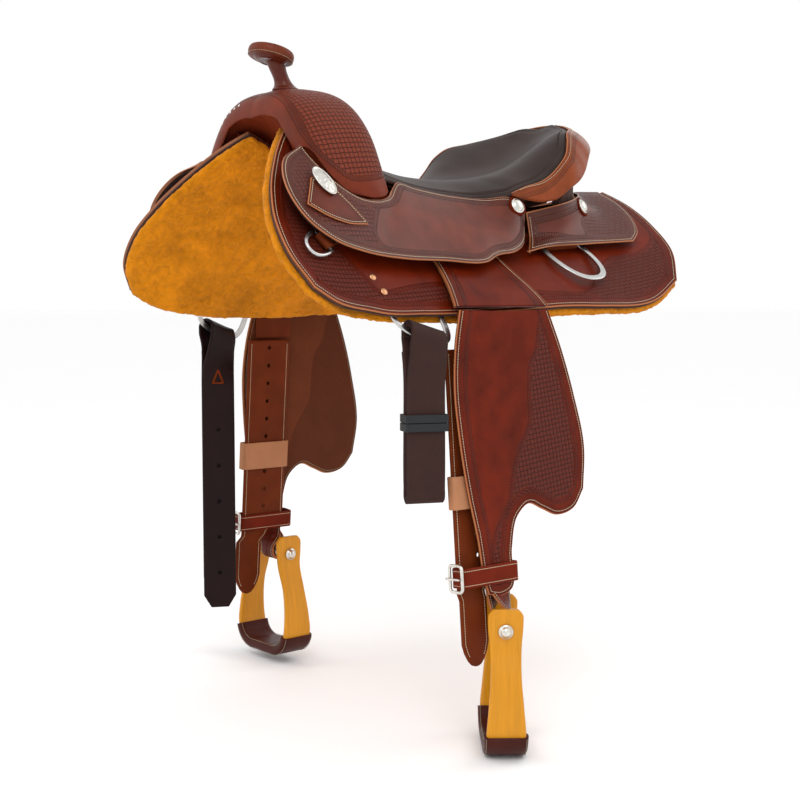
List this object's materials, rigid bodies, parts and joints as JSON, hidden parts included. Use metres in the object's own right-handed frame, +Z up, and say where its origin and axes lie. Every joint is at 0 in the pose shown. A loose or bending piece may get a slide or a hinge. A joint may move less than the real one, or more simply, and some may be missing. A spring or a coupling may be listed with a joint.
{
  "type": "reining saddle",
  "caption": "Western reining saddle: horn, padded seat with rolled cantle, stamped skirts over fleece, swinging fenders, turned wooden stirrups, latigo and billet.",
  "frame": {"origin": "on the saddle's centre plane, where the lowest part of the gap between the bars lies over the horse's spine, amidships", "axes": "+X towards the near (left) side, +Y towards the cantle (rear), +Z up"},
  "size_m": [0.7006, 0.7553, 0.9327],
  "materials": {
    "skirting_leather": "oiled, semi-gloss",
    "stamped_leather": "basket stamped, semi-gloss",
    "roll_leather": "glossy russet",
    "seat_leather": "soft grain, matt",
    "natural_leather": "undyed, matt",
    "dark_leather": "oxblood, semi-matt",
    "fleece": "long golden fleece",
    "varnished_wood": "clear varnish, glossy",
    "rawhide_wood": "rawhide covered, satin",
    "nylon_webbing": "ribbed webbing, matt",
    "rubber": "smooth, matt",
    "silver": "engraved silver, bright",
    "stainless_steel": "stainless, bright"
  },
  "bodies": {
    "saddle": {"tree_bar_near": "rawhide_wood", "tree_bar_off": "rawhide_wood", "tree_fork": "skirting_leather", "swell_cover": "stamped_leather", "horn": "skirting_leather", "seat_pad": "seat_leather", "ground_seat": "natural_leather", "tree_cantle": "skirting_leather", "cheyenne_roll": "roll_leather", "skirt_near": "skirting_leather", "fleece_near": "fleece", "seat_jockey_near": "skirting_leather", "rear_jockey_near": "skirting_leather", "jockey_tab_near": "skirting_leather", "front_concho_near": "silver", "rear_concho_near": "silver", "cantle_concho_near": "silver", "breast_dee_tab_near": "skirting_leather", "rear_dee_tab_near": "skirting_leather", "rigging_dee_near": "stainless_steel", "leather_top_near": "skirting_leather", "skirt_off": "skirting_leather", "fleece_off": "fleece", "seat_jockey_off": "skirting_leather", "rear_jockey_off": "skirting_leather", "jockey_tab_off": "skirting_leather", "front_concho_off": "silver", "rear_concho_off": "silver", "cantle_concho_off": "silver", "breast_dee_tab_off": "skirting_leather", "rear_dee_tab_off": "skirting_leather", "rigging_dee_off": "stainless_steel", "leather_top_off": "skirting_leather"},
    "leathers_near": {"leather_loop_near": "skirting_leather"},
    "fender_near": {"fender_near": "skirting_leather", "stirrup_leather_near": "skirting_leather", "hobble_strap_near": "skirting_leather", "hobble_buckle_near": "stainless_steel"},
    "stirrup_near": {"stirrup_near": "varnished_wood", "stirrup_tread_near": "dark_leather", "stirrup_bolt_near": "stainless_steel"},
    "sleeve_near": {"buckle_sleeve_near": "natural_leather"},
    "tongue_near": {"buckle_tongue_near": "stainless_steel"},
    "breast_dee_near": {"breast_dee_near": "stainless_steel"},
    "rear_dee_near": {"rear_dee_near": "stainless_steel"},
    "leathers_off": {"leather_loop_off": "skirting_leather"},
    "fender_off": {"fender_off": "skirting_leather", "stirrup_leather_off": "skirting_leather", "hobble_strap_off": "skirting_leather", "hobble_buckle_off": "stainless_steel"},
    "stirrup_off": {"stirrup_off": "varnished_wood", "stirrup_tread_off": "dark_leather", "stirrup_bolt_off": "stainless_steel"},
    "sleeve_off": {"buckle_sleeve_off": "natural_leather"},
    "tongue_off": {"buckle_tongue_off": "stainless_steel"},
    "breast_dee_off": {"breast_dee_off": "stainless_steel"},
    "rear_dee_off": {"rear_dee_off": "stainless_steel"},
    "latigo": {"latigo": "nylon_webbing", "latigo_band": "rubber"},
    "billet": {"off_billet": "dark_leather"}
  },
  "joints": [
    {"name": "leathers_swing_near", "type": "hinge", "parent": "saddle", "child": "leathers_near", "pos_m": [0.24464, -0.03, -0.08766], "axis": [0.9962, 0, 0.0872], "range_deg": [-1.5, 20]},
    {"name": "fender_lift_near", "type": "hinge", "parent": "leathers_near", "child": "fender_near", "pos_m": [0.24464, -0.03, -0.08766], "axis": [0, -1, 0], "range_deg": [0, 60]},
    {"name": "stirrup_turn_near", "type": "hinge", "parent": "fender_near", "child": "stirrup_near", "pos_m": [0.2783, -0.044, -0.49528], "axis": [0.788, -0.6157, 0], "range_deg": [-35, 35]},
    {"name": "sleeve_slide_near", "type": "slide", "parent": "fender_near", "child": "sleeve_near", "axis": [0.0872, 0, -0.9962], "range_m": [-0.03, 0.05]},
    {"name": "buckle_tongue_near", "type": "hinge", "parent": "fender_near", "child": "tongue_near", "pos_m": [0.25911, -0.1192, -0.4297], "axis": [0.0872, 0, -0.9962], "range_deg": [0, 100]},
    {"name": "breast_dee_near", "type": "hinge", "parent": "saddle", "child": "breast_dee_near", "pos_m": [0.19458, -0.27, -0.00045], "axis": [-0.4129, -0.4804, 0.7738], "range_deg": [0, 24]},
    {"name": "rear_dee_near", "type": "hinge", "parent": "saddle", "child": "rear_dee_near", "pos_m": [0.14767, 0.186, 0.00612], "axis": [0.0227, -0.997, -0.0742], "range_deg": [0, 14]},
    {"name": "leathers_swing_off", "type": "hinge", "parent": "saddle", "child": "leathers_off", "pos_m": [-0.24464, -0.03, -0.08766], "axis": [0.9962, 0, -0.0872], "range_deg": [-6, 20]},
    {"name": "fender_lift_off", "type": "hinge", "parent": "leathers_off", "child": "fender_off", "pos_m": [-0.24464, -0.03, -0.08766], "axis": [0, 1, 0], "range_deg": [0, 60]},
    {"name": "stirrup_turn_off", "type": "hinge", "parent": "fender_off", "child": "stirrup_off", "pos_m": [-0.27716, -0.044, -0.48233], "axis": [-0.9994, -0.0349, 0], "range_deg": [-35, 35]},
    {"name": "sleeve_slide_off", "type": "slide", "parent": "fender_off", "child": "sleeve_off", "axis": [-0.0872, 0, -0.9962], "range_m": [-0.03, 0.05]},
    {"name": "buckle_tongue_off", "type": "hinge", "parent": "fender_off", "child": "tongue_off", "pos_m": [-0.25911, -0.1192, -0.4297], "axis": [0.0872, 0, 0.9962], "range_deg": [0, 100]},
    {"name": "breast_dee_off", "type": "hinge", "parent": "saddle", "child": "breast_dee_off", "pos_m": [-0.19458, -0.27, -0.00045], "axis": [-0.4129, 0.4804, -0.7738], "range_deg": [0, 24]},
    {"name": "rear_dee_off", "type": "hinge", "parent": "saddle", "child": "rear_dee_off", "pos_m": [-0.14767, 0.186, 0.00612], "axis": [0.0227, 0.997, 0.0742], "range_deg": [0, 14]},
    {"name": "latigo_swing", "type": "hinge", "parent": "saddle", "child": "latigo", "pos_m": [0.23708, -0.144, -0.12046], "axis": [-0.1912, -0.9339, 0.302], "range_deg": [-6, 12]},
    {"name": "billet_swing", "type": "hinge", "parent": "saddle", "child": "billet", "pos_m": [-0.23835, -0.168, -0.12252], "axis": [-0.1982, 0.918, -0.3435], "range_deg": [-6, 12]}
  ]
}
